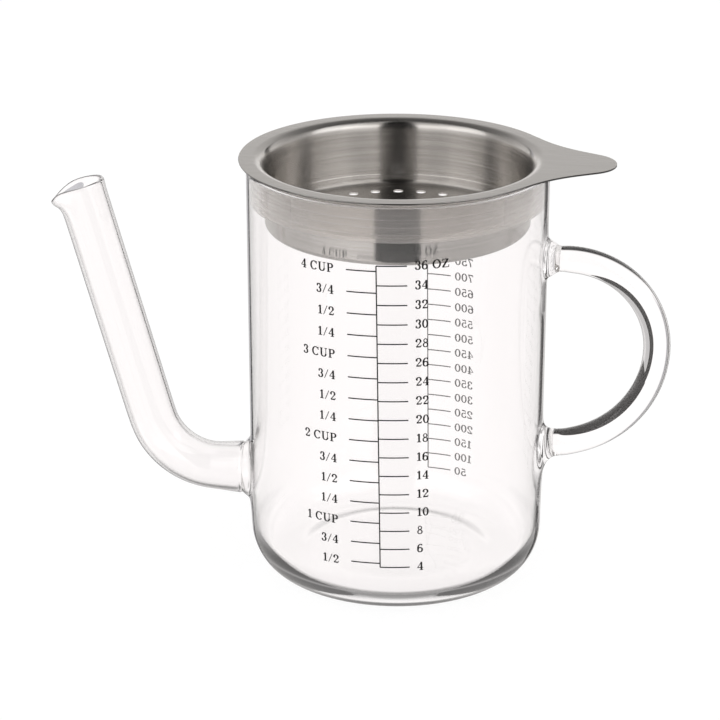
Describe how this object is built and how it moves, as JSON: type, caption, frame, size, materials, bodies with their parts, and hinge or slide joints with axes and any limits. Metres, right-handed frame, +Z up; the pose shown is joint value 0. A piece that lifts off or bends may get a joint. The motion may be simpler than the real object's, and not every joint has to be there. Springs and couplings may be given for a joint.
{
  "type": "gravy fat separator",
  "caption": "Glass gravy fat separator: graduated jug with a low bent pouring spout, loop handle and a lift-out steel strainer in a silicone seal ring.",
  "frame": {"origin": "centre of the flat foot, on the axis of the jug", "axes": "+Z up along the axis of the jug, +X towards the handle and the strainer's tab, -X towards the spout, -Y towards the front scale"},
  "size_m": [0.2223, 0.1112, 0.1526],
  "materials": {
    "borosilicate_glass": "clear, fire polished",
    "stainless_steel": "fine circular brushing",
    "clear_silicone": "translucent, soft satin",
    "dark_enamel": "fired matte print"
  },
  "bodies": {
    "jug": {"jug_body": "borosilicate_glass", "spout_tube": "borosilicate_glass", "handle": "borosilicate_glass", "front_scale": "dark_enamel", "rear_scale": "dark_enamel"},
    "seal": {"seal_ring": "clear_silicone"},
    "strainer": {"strainer": "stainless_steel"}
  },
  "joints": [
    {"name": "strainer_lift", "type": "slide", "parent": "jug", "child": "seal", "axis": [0, 0, 1], "range_m": [0, 0.06]},
    {"name": "strainer_turn", "type": "hinge", "parent": "seal", "child": "strainer", "pos_m": [0, 0, 0.15], "axis": [0, 0, 1], "continuous": true}
  ]
}
